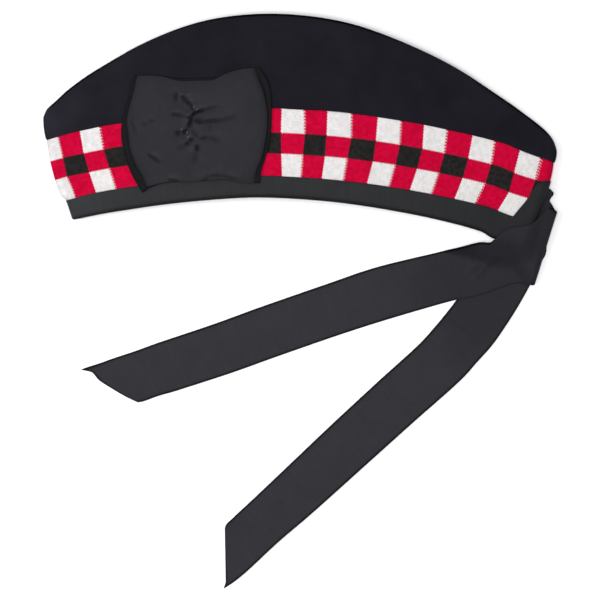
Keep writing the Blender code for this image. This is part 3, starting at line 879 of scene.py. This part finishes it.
def make_cockade(material, below):
    """A flattened loop of ribbon: its face, the turn at each side and its lower layer."""
    base = soften(hang_over(below, cockade_slope, cockade_bridge), steps=2)
    over = np.sin(np.linspace(-pi / 2, pi / 2, cockade_columns))
    under = np.linspace(1, -1, 26)[1:-1]
    out = np.linspace(0, 1, 7)[1:]
    roll = np.radians(np.arange(30, 181, 30))
    around = np.concatenate([over, 0 * out + 1, 0 * roll + 1, under, 0 * roll - 1, 0 * out - 1])
    outside = np.concatenate([0 * over, out, 0 * roll + 1, 0 * under + 1, 0 * roll + 1, out[::-1]])
    rolled = np.concatenate([0 * over, 0 * out, roll, 0 * under + pi, roll[::-1], 0 * out])
    facing_up = np.arange(len(around)) < len(over)
    a, b = np.meshgrid(around, np.linspace(-1, 1, cockade_rows))
    beyond = np.broadcast_to(outside, a.shape)
    x, y = cockade_place(a, b, beyond)
    x = x + np.sign(a) * cockade_roll * np.sin(rolled)
    relief, hollows = cockade_relief(x, y, a, b)
    face = blend(cockade_fold, cockade_face, np.sqrt(1 - np.abs(a)**16)) - cockade_curl * b**8
    face = face + np.maximum(relief, -deepest_crease)
    rolled_in = cockade_under + cockade_roll * (1 + np.cos(rolled))
    side = np.interp(beyond, (0, 0.25, 1), (cockade_fold, 0.6 * cockade_fold, rolled_in[0]))
    side = np.where(rolled > 0, rolled_in, side)
    places_on = cap_place[:2] + cockade_at + np.stack([x, y], axis=2)
    z = read_heights(base, places_on[..., 0], places_on[..., 1]) + np.where(facing_up, face, side)
    rows = np.concatenate([places_on, z[..., None]], axis=2)
    # Painted shade along the edges between the face and the folded sides, and over the folded sides
    hollows = np.where(np.abs(a) > 0.9995, np.maximum(hollows, cockade_fold_shade), hollows)
    shade = np.where(facing_up, hollows, cockade_side_shade)
    flat = flat_places(rows, closed=True)
    cockade = cloth_rows("cockade_loop", rows, material, flat, closed=True, shade=shade)
    thicken(cockade, ribbon_thickness, offset=0)
    dress(cockade, ["cockade"])
    return cockade


def make_stitches(material, cockade):
    """Short bowed threads over the pinches, each a thin round tube."""
    tree = BVHTree.FromObject(cockade, bpy.context.evaluated_depsgraph_get())
    turns = np.linspace(0, 2 * pi, thread_columns, endpoint=False)
    points, faces = [], []
    for x, y, angle in STITCHES:
        heading = np.array((cos(radians(angle)), sin(radians(angle))))
        middle = cap_place[:2] + cockade_at + np.array((x, y)) / 1000
        first = len(points)
        for share in np.linspace(-1, 1, stitch_rings):
            place = middle + heading * share * stitch_length / 2
            height = top_of(tree, *place).z + stitch_rise * (1 - share**2 - 0.4 * share**4)
            for turn in turns:
                sideways = heading[::-1] * (-1, 1) * thread_radius * cos(turn)
                points.append((*(place + sideways), height + thread_radius * sin(turn)))
        sides = grid_corners(stitch_rings, thread_columns, turned=True)
        faces += numbered(sides, thread_columns, first)
        faces.append([len(points) - thread_columns + i for i in range(thread_columns)])
        faces.append([first + i for i in range(thread_columns)][::-1])
    threads = new_piece("gathering_stitches", np.array(points), faces, material)
    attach(threads, "root")


# Tails

rim_corner = cap_place[:2] + (back_rim, cap_height * RIM[-1][1])

# Painted shade along the tails' edges, where they turn from the light: places across the ribbon, and how
# dark they look there
EDGE_SHADE = np.array(((0.0, 0.018, 0.036, 0.060), (1.0, 1.0, 0.5, 0.0)))


def tail_stations(table, reach):
    """Left and right edges and layer of a ribbon at even steps along it."""
    stations = [(i, *row) for i, row in enumerate(table)]
    at = []
    for i in range(len(table) - 1):
        gap = reach * hypot(table[i + 1][0] - table[i][0], table[i + 1][1] - table[i][1])
        count = max(6, int(ceil(gap / tail_step)))
        at += [i + k / count for k in range(count)]
    at = np.array(at + [len(table) - 1.0])
    x, y, angle, span, layer = (read_table(stations, at, column) for column in range(1, 6))
    centre = rim_corner + reach * np.stack([x, y], axis=1)
    across = np.stack([np.cos(np.radians(angle)), np.sin(np.radians(angle))], axis=1)
    half = (span * ribbon_width / 2)[:, None] * across
    return centre - half, centre + half, layer


def ribbon_places(table, reach):
    """Places over a ribbon, each one's share of the way across it, and its layer."""
    left, right, layer = tail_stations(table, reach)
    share = np.concatenate([EDGE_SHADE[0], np.linspace(0.09, 0.91, 20), 1 - EDGE_SHADE[0][::-1]])
    places_on = left[:, None] + (right - left)[:, None] * share[None, :, None]
    share, layer = np.broadcast_arrays(share, layer[:, None])
    return places_on, share, layer


def near_end(places_on, reach):
    """1 at a ribbon's cut end, falling to 0 at a distance from it."""
    return (1 - ease(np.linalg.norm(places_on - places_on[-1:], axis=2) / reach))[..., None]


def drawn_tip(places_on, share, corner, tip, reach):
    """Draws one corner of a ribbon's end out to a tip."""
    near_corner = (1 - ease(np.abs(share - corner) / tip_width))**2
    return places_on + near_end(places_on, reach) * near_corner[..., None] * np.array(tip)


def rounded_cut(places_on, share, table, reach):
    """Lets a ribbon's cut end stand out beyond the straight line between its corners."""
    across = places_on[-1, -1] - places_on[-1, 0]
    outward = np.array((across[1], -across[0])) / np.hypot(*across)
    beyond = read_table(table, share, 1) / 1000
    return places_on + near_end(places_on, reach) * beyond[..., None] * outward


def tail_crease_height(places_on):
    """Height of the faint creases in the tails."""
    x, y = np.moveaxis(1000 * (places_on - rim_corner), -1, 0)
    height = 0 * x
    for crease in TAIL_CREASES:
        rise, width = crease[4:]
        along, off = beside_line(x, y, crease)
        fade = ease((along + 0.15) / 0.3) * (1 - ease((along - 0.85) / 0.3))
        height = height + rise * fade * np.exp(-(off / width)**2)
    return height / 1000


def make_tail(name, node, rows, share, material, below):
    """A tail through rows of points, with painted shade along its edges and painted shadow near the slit.
    """
    # Painted shade along the edges and across the cut end, weaker where the tail lies on other cloth
    edge = np.interp(np.minimum(share, 1 - share), *EDGE_SHADE)
    edge[-1] = 1.0
    raised = ease(read_heights(below, rows[..., 0], rows[..., 1]) / 0.001)
    edge = edge * (1 - lying_edge * raised)
    # Painted shadow near the slit
    from_corner = np.linalg.norm(rows[..., :2] - rim_corner, axis=2)
    near, span = root_shade_reach
    edge = np.maximum(edge, root_shade * (1 - ease((from_corner - near) / span)))
    flat = flat_places(rows.transpose(1, 0, 2)).transpose(1, 0, 2)
    tail = cloth_rows(name, rows, material, flat, shade=edge)
    thicken(tail, ribbon_thickness, offset=0)
    dress(tail, [node])
    return tail


def make_lower_tail(material, below):
    """Comes down from the slit and lies on the surface."""
    places_on, share, layer = ribbon_places(TAIL_LOWER, lower_reach)
    places_on = drawn_tip(places_on, share, corner=1.0, tip=lower_tip, reach=0.005)
    rows = np.concatenate([places_on, 0 * share[..., None]], axis=2)
    wave = 0.5 + 0.5 * uneven(rows, scale=0.055, seed=11.0)
    ends = ease(np.arange(len(rows)) / 60.0)[:, None]
    rise = np.clip(0.5 - layer / 2, 0, 1)
    rows[..., 2] = ribbon_thickness / 2 + tail_gap + lower_wave * wave * ends + slit_rise * rise
    rows[..., 2] += tail_crease_height(places_on) * ends
    return make_tail("tail_ribbon_lower", "tail_lower", rows, share, material, below)


def make_upper_tail(material, below):
    """Comes out of the slit, folds back over itself and lies over whatever is below."""
    places_on, share, layer = ribbon_places(TAIL_UPPER, upper_reach)
    places_on = rounded_cut(places_on, share, UPPER_END, reach=0.010)
    places_on = drawn_tip(places_on, share, corner=0.0, tip=upper_tip, reach=0.010)
    x, y = places_on[..., 0], places_on[..., 1]
    at_slit = ribbon_stand + fold_radius
    root = blend(at_slit, 2 * model_ribbon + clearance, share)
    root = blend(root, at_slit, np.clip(-layer, 0, 1))
    under = np.concatenate([places_on, root[..., None]], axis=2)[layer[:, 0] < 0.5]
    count, across = under.shape[:2]
    faces = numbered(grid_corners(count, across - 1), across)
    tree = BVHTree.FromPolygons([Vector(point) for point in under.reshape(-1, 3)], faces)
    held = raised_to(below, [tree], ribbon_thickness / 2 + tail_fold_gap)
    over = soften(hang_over(held, tail_slope, tail_bridge), steps=3)
    rows = np.concatenate([places_on, 0 * share[..., None]], axis=2)
    wave = 0.5 + 0.5 * uneven(rows, scale=0.050, seed=13.0)
    over = read_heights(over, x, y) + ribbon_thickness / 2 + tail_gap + upper_wave * wave
    over = over + tail_crease_height(places_on)
    rows[..., 2] = blend(root, over, np.clip(layer, 0, 1))
    return make_tail("tail_ribbon_upper", "tail_upper", rows, share, material, below)


# Materials

# Yarns of the dicing, white, red and black: the darkest and the lightest tone of each
YARNS = (
    ((0.5615, 0.5369, 0.5344), (0.6623, 0.6393, 0.6361)),
    ((0.3893, 0.001803, 0.02213), (0.4918, 0.002869, 0.03525)),
    ((0.01066, 0.01066, 0.009836), (0.01885, 0.01721, 0.01721)),
)

# Colours that painted shade deepens the wool and the ribbons to
wool_deepest = (0.0008197, 0.0008197, 0.0008197)
ribbon_deepest = (0.001311, 0.001311, 0.001557)


def add_node(tree, kind, inputs=None, **settings):
    made = tree.nodes.new("ShaderNode" + kind)
    for name, value in settings.items():
        setattr(made, name, value)
    for name, value in (inputs or {}).items():
        if isinstance(value, bpy.types.NodeSocket):
            tree.links.new(value, made.inputs[name])
        else:
            made.inputs[name].default_value = value
    return made


def calc(tree, operation, a, b=0.0, c=0.0):
    """The result of arithmetic with up to three numbers or sockets."""
    return add_node(tree, "Math", {0: a, 1: b, 2: c}, operation=operation).outputs[0]


def farther_than(tree, value, middle, distance):
    """1 where a number is farther from a middle than a distance, otherwise 0."""
    away = calc(tree, "ABSOLUTE", calc(tree, "SUBTRACT", value, middle))
    return calc(tree, "GREATER_THAN", away, distance)


def scaled(tree, colour, factor):
    return add_node(tree, "VectorMath", {0: colour, "Scale": factor}, operation="SCALE").outputs[0]


def mix_colours(tree, share, first, second):
    inputs = {0: share, 6: first, 7: second}
    return add_node(tree, "Mix", inputs, data_type="RGBA").outputs[2]


def new_group(name, inputs, outputs):
    """A shader node group with named inputs and outputs, and its own sockets for them."""
    group = bpy.data.node_groups.new(name, "ShaderNodeTree")
    for label, kind, value in inputs:
        kind = "NodeSocket" + kind
        socket = group.interface.new_socket(name=label, in_out="INPUT", socket_type=kind)
        if value is not None:
            socket.default_value = value
    for label in outputs:
        group.interface.new_socket(name=label, in_out="OUTPUT", socket_type="NodeSocketFloat")
    return group, group.nodes.new("NodeGroupInput").outputs, group.nodes.new("NodeGroupOutput").inputs


def make_fuzz_group():
    """Short wool fibres that stand up from cloth, and the cloudy tone they give."""
    group, given, result = new_group("wool_fuzz", [
        ("Place", "Vector", None),
        ("Fibres per Metre", "Float", 2500.0),
        ("Cloudiness", "Float", 0.5),
    ], ["Tone", "Height"])
    fibres = add_node(group, "TexNoise", {
        "Vector": given["Place"], "Scale": given["Fibres per Metre"],
        "Detail": 3.0, "Roughness": 0.65, "Distortion": 1.2})
    clouds = add_node(group, "TexNoise", {
        "Vector": given["Place"], "Scale": 55.0, "Detail": 4.0, "Roughness": 0.6})
    tone = add_node(group, "Mix", {0: given["Cloudiness"], 2: fibres.outputs[0], 3: clouds.outputs[0]})
    group.links.new(tone.outputs[0], result["Tone"])
    group.links.new(fibres.outputs[0], result["Height"])
    return group


def make_painted_front_light_group():
    """Painted light on cloth: lighter towards its front and deeper at its back."""
    group, given, result = new_group("painted_front_light", [
        ("Place", "Vector", None),
        ("Half Length", "Float", 0.15),
        ("Amount", "Float", 0.7),
        ("Least", "Float", 1.0),
    ], ["Lightness"])
    place = add_node(group, "SeparateXYZ", {0: given["Place"]})
    forwards = calc(group, "MULTIPLY", place.outputs[0], -1.0)
    forwards = calc(group, "DIVIDE", forwards, given["Half Length"])
    towards_ends = calc(group, "POWER", calc(group, "ABSOLUTE", forwards), 4.0)
    gathered = calc(group, "MULTIPLY", forwards, towards_ends)
    lightness = calc(group, "MULTIPLY_ADD", gathered, given["Amount"], 1.0)
    group.links.new(calc(group, "MAXIMUM", lightness, given["Least"]), result["Lightness"])
    return group


def make_stitch_group():
    """Knitted stitches over squares: wales of V shapes, and every other upright edge toothed."""
    group, given, result = new_group("knitted_stitches", [
        ("Place", "Vector", None),
        ("Wales", "Float", 8.0),
        ("Courses", "Float", 8.0),
        ("Tooth", "Float", 0.5),
        ("Plain Tooth", "Float", 0.2),
    ], ["Square", "Row", "Height", "Stitch"])
    place = add_node(group, "SeparateXYZ", {0: given["Place"]})
    wale = calc(group, "MULTIPLY", place.outputs[0], given["Wales"])
    course = calc(group, "MULTIPLY", place.outputs[1], given["Courses"])
    side = calc(group, "ABSOLUTE", calc(group, "SUBTRACT", calc(group, "FRACT", wale), 0.5))
    lifted = calc(group, "ADD", calc(group, "SUBTRACT", course, side), 0.25)
    within = calc(group, "FRACT", lifted)
    leg = calc(group, "SINE", calc(group, "MULTIPLY", within, pi))
    nearest_edge = calc(group, "FLOOR", calc(group, "ADD", place.outputs[0], 0.5))
    outer_row = farther_than(group, place.outputs[1], middle=1.5, distance=0.5)
    toothed = calc(group, "MULTIPLY", calc(group, "FLOORED_MODULO", nearest_edge, 2.0), outer_row)
    reach = add_node(group, "Mix", {0: toothed, 2: given["Plain Tooth"], 3: given["Tooth"]})
    tooth = calc(group, "MULTIPLY", calc(group, "SUBTRACT", leg, 0.5), reach.outputs[0])
    wale_number = calc(group, "FLOOR", calc(group, "ADD", wale, tooth))
    course_number = calc(group, "FLOOR", lifted)
    for label, number, per in (("Square", wale_number, "Wales"), ("Row", course_number, "Courses")):
        middle = calc(group, "ADD", number, 0.5)
        group.links.new(calc(group, "FLOOR", calc(group, "DIVIDE", middle, given[per])), result[label])
    chain = calc(group, "SINE", calc(group, "MULTIPLY", side, 2 * pi))
    yarn = calc(group, "MULTIPLY_ADD", calc(group, "POWER", chain, 0.5), 0.65, 0.35)
    group.links.new(calc(group, "MULTIPLY", calc(group, "POWER", leg, 0.6), yarn), result["Height"])
    numbers = add_node(group, "CombineXYZ", {0: wale_number, 1: course_number})
    chance = add_node(group, "TexWhiteNoise", {"Vector": numbers.outputs[0]}, noise_dimensions="2D")
    group.links.new(chance.outputs[0], result["Stitch"])
    return group


def make_rib_group():
    """Fine cross ribs of a ribbon, and the uneven tone of its threads where they wear."""
    group, given, result = new_group("ribbon_ribs", [
        ("Place", "Vector", None),
        ("Ribs per Metre", "Float", 2200.0),
        ("Wear", "Float", 0.4),
    ], ["Tone", "Height"])
    place = add_node(group, "SeparateXYZ", {0: given["Place"]})
    ribs = calc(group, "MULTIPLY", place.outputs[1], given["Ribs per Metre"])
    turn = calc(group, "MULTIPLY", ribs, 2 * pi)
    rib = calc(group, "MULTIPLY_ADD", calc(group, "SINE", turn), 0.5, 0.5)
    per_metre = (60.0, 900.0, 1.0)
    stretched = add_node(group, "VectorMath", {0: given["Place"], 1: per_metre}, operation="MULTIPLY")
    thread_places = {"Vector": stretched.outputs[0], "Scale": 1.0, "Detail": 2.0}
    threads = add_node(group, "TexNoise", thread_places)
    clouds = add_node(group, "TexNoise", {"Vector": given["Place"], "Scale": 70.0, "Detail": 3.0})
    wear_and_painted_light = add_node(group, "Mix", {0: given["Wear"], 2: threads.outputs[0], 3: clouds.outputs[0]})
    group.links.new(wear_and_painted_light.outputs[0], result["Tone"])
    group.links.new(calc(group, "MULTIPLY_ADD", threads.outputs[0], 0.5, rib), result["Height"])
    return group


def new_material(name):
    material = bpy.data.materials.new(name)
    material.use_nodes = True
    return material, material.node_tree, material.node_tree.nodes["Principled BSDF"]


def finish_shader(tree, shader, colour, height, distance, strength, values):
    """Sets a cloth's colour, relief and constant values on its shader."""
    bump = add_node(tree, "Bump", {"Height": height, "Distance": distance, "Strength": strength})
    tree.links.new(bump.outputs[0], shader.inputs["Normal"])
    tree.links.new(colour, shader.inputs["Base Color"])
    for name, value in values.items():
        shader.inputs[name].default_value = value


def two_tones(tree, share, dark, light):
    return mix_colours(tree, share, (*dark, 1), (*light, 1))


def shaded(tree, colour, deepest):
    """The colour with painted shade, deeper on turned edges and in hollows, and a painted highlight,
    lighter where the shade is under 0.
    """
    shade = add_node(tree, "Attribute", attribute_name="shade").outputs["Fac"]
    lightness = calc(tree, "MAXIMUM", calc(tree, "SUBTRACT", 1.0, shade), 1.0)
    return mix_colours(tree, shade, scaled(tree, colour, lightness), (*deepest, 1))


def with_painted_front_light(tree, painted_light, colour, amount, least):
    """The colour with painted light, lighter towards the cap's front and deeper at its back."""
    place = add_node(tree, "TexCoord").outputs["Object"]
    wear_and_painted_light = add_node(tree, "Group", {"Place": place, "Amount": amount, "Least": least}, node_tree=painted_light)
    return scaled(tree, colour, wear_and_painted_light.outputs["Lightness"])


def make_wool(fuzz, painted_light):
    material, tree, shader = new_material("black_milled_wool")
    place = add_node(tree, "TexCoord").outputs["Object"]
    cover = add_node(tree, "Group", {"Place": place}, node_tree=fuzz)
    dark, light = (0.00328, 0.00295, 0.00480), (0.0188, 0.0175, 0.0229)
    colour = two_tones(tree, cover.outputs["Tone"], dark, light)
    # Painted light: the wool lighter towards the cap's front
    colour = with_painted_front_light(tree, painted_light, colour, amount=0.58, least=1.0)
    colour = shaded(tree, colour, wool_deepest)
    finish_shader(tree, shader, colour, cover.outputs["Height"], distance=0.0004, strength=0.7,
                  values={"Roughness": 1.0, "Specular IOR Level": 0.0})
    return material


def make_knit(fuzz, stitches):
    """Three rows of squares: red and white, black between reds, red and white."""
    material, tree, shader = new_material("diced_knit")
    place = add_node(tree, "UVMap", uv_map="cloth").outputs[0]
    stitch = add_node(tree, "Group", {
        "Place": place, "Wales": 9.0, "Courses": 8.0, "Tooth": 1.1, "Plain Tooth": 0.35,
    }, node_tree=stitches).outputs
    odd = calc(tree, "FLOORED_MODULO", stitch["Square"], 2.0)
    middle = calc(tree, "COMPARE", stitch["Row"], 1.0, 0.1)
    outside = farther_than(tree, stitch["Row"], middle=1.0, distance=1.5)
    red_share = calc(tree, "ABSOLUTE", calc(tree, "SUBTRACT", odd, middle))
    white, red, black = (two_tones(tree, stitch["Stitch"], dark, light) for dark, light in YARNS)
    plain = mix_colours(tree, odd, white, black)
    diced = mix_colours(tree, red_share, plain, red)
    colour = mix_colours(tree, outside, diced, black)
    where = add_node(tree, "TexCoord").outputs["Object"]
    cover = add_node(tree, "Group", {"Place": where}, node_tree=fuzz).outputs
    colour = scaled(tree, colour, calc(tree, "MULTIPLY_ADD", cover["Tone"], 0.22, 0.88))
    height = calc(tree, "MULTIPLY_ADD", cover["Height"], 0.25, stitch["Height"])
    finish_shader(tree, shader, colour, height, distance=0.00035, strength=0.6,
                  values={"Roughness": 1.0, "Specular IOR Level": 0.0})
    return material


def make_ribbon_material(name, ribs, dark, light, roughness, wear, painted_light=None):
    material, tree, shader = new_material(name)
    place = add_node(tree, "UVMap", uv_map="cloth").outputs[0]
    weave = add_node(tree, "Group", {"Place": place, "Wear": wear}, node_tree=ribs)
    colour = two_tones(tree, weave.outputs["Tone"], dark, light)
    # Painted light: lighter towards the cap's front and deeper at its back
    if painted_light:
        colour = with_painted_front_light(tree, painted_light, colour, amount=0.85, least=0.8)
    colour = shaded(tree, colour, ribbon_deepest)
    finish_shader(tree, shader, colour, weave.outputs["Height"], distance=0.00006, strength=0.5,
                  values={"Roughness": roughness, "Specular IOR Level": 0.06})
    return material


def make_thread():
    """Twisted sewing thread."""
    material, tree, shader = new_material("gathering_thread")
    place = add_node(tree, "TexCoord").outputs["Object"]
    twist = add_node(tree, "TexWave", {"Vector": place, "Scale": 900.0, "Distortion": 1.0},
                     bands_direction="DIAGONAL").outputs["Fac"]
    colour = two_tones(tree, twist, (0.04098, 0.04098, 0.04426), (0.09426, 0.09426, 0.1))
    finish_shader(tree, shader, colour, twist, distance=0.00005, strength=0.5,
                  values={"Roughness": 0.45})
    return material


# Floor, light and camera

picture_width = 0.351       # at mid-height of the cap
cap_middle_height = 0.010
table_half_width = 15
table_gap = 0.0001          # below the cap


def make_studio():
    mesh = bpy.data.meshes.new("pale_table")
    corners = table_half_width * np.array(((-1, -1, 0), (1, -1, 0), (1, 1, 0), (-1, 1, 0)))
    mesh.from_pydata((corners - (0, 0, table_gap)).tolist(), [], [(0, 1, 2, 3)])
    table = bpy.data.objects.new("pale_table", mesh)
    bpy.context.scene.collection.objects.link(table)
    material, tree, shader = new_material("pale_table")
    shader.inputs["Base Color"].default_value = (0.93, 0.93, 0.93, 1)
    shader.inputs["Roughness"].default_value = 0.9
    shader.inputs["Specular IOR Level"].default_value = 0.1
    mesh.materials.append(material)

    world = bpy.data.worlds.new("pale_room")
    world.use_nodes = True
    back = world.node_tree.nodes["Background"]
    back.inputs["Color"].default_value = (0.95, 0.97, 1.0, 1)
    back.inputs["Strength"].default_value = 0.342
    bpy.context.scene.world = world

    for name, place, size, power in (
        ("window_light", (-0.75, 0.15, 0.95), 0.8, 8.3),
        ("fill_light", (0.9, -0.7, 1.8), 1.2, 3.7),
        ("ceiling_light", (0.0, 0.0, 2.4), 0.6, 39.0),
    ):
        lamp = bpy.data.lights.new(name, "AREA")
        lamp.shape = "SQUARE"
        lamp.size = size
        lamp.energy = power
        holder = bpy.data.objects.new(name, lamp)
        holder.location = place
        holder.rotation_euler = (-Vector(place)).to_track_quat("-Z", "Y").to_euler()
        holder.visible_camera = False
        bpy.context.scene.collection.objects.link(holder)


def make_camera():
    """Straight above and far off, with a long lens."""
    camera = bpy.data.cameras.new("camera")
    camera.lens = 400.0
    camera.sensor_width = 36.0
    holder = bpy.data.objects.new("camera", camera)
    distance = picture_width * camera.lens / camera.sensor_width
    holder.location = (0.0, 0.0, distance + cap_middle_height)
    bpy.context.scene.collection.objects.link(holder)
    bpy.context.scene.camera = holder


make_studio()
make_camera()
bpy.context.scene.view_settings.view_transform = "Standard"

wool_fuzz = make_fuzz_group()
knitted_stitches = make_stitch_group()
ribbon_ribs = make_rib_group()
painted_front_light = make_painted_front_light_group()
wool = make_wool(wool_fuzz, painted_front_light)
knit = make_knit(wool_fuzz, knitted_stitches)
# Only the binding and the wool get the painted light towards the front
binding_cloth = make_ribbon_material(
    "binding_ribbon", ribbon_ribs, dark=(0.01098, 0.01148, 0.01295),
    light=(0.02492, 0.02508, 0.02746), roughness=0.62, wear=0.5, painted_light=painted_front_light)
cockade_cloth = make_ribbon_material(
    "cockade_ribbon", ribbon_ribs, dark=(0.0102, 0.0099, 0.0136),
    light=(0.0219, 0.0214, 0.0257), roughness=0.58, wear=0.5)
tail_cloth = make_ribbon_material(
    "tail_ribbon", ribbon_ribs, dark=(0.0133, 0.0123, 0.0169),
    light=(0.0272, 0.0261, 0.0310), roughness=0.55, wear=0.5)

crown = make_crown(wool)
band = make_band(knit)
binding = make_binding(binding_cloth)
bpy.context.view_layer.update()
cap_heights = heights_below([crown, band, binding])
cockade = make_cockade(cockade_cloth, cap_heights)
bpy.context.view_layer.update()
make_stitches(make_thread(), cockade)
lower_tail = make_lower_tail(tail_cloth, cap_heights)
bpy.context.view_layer.update()
make_upper_tail(tail_cloth, np.maximum(cap_heights, heights_below([lower_tail])))

bpy.context.view_layer.update()
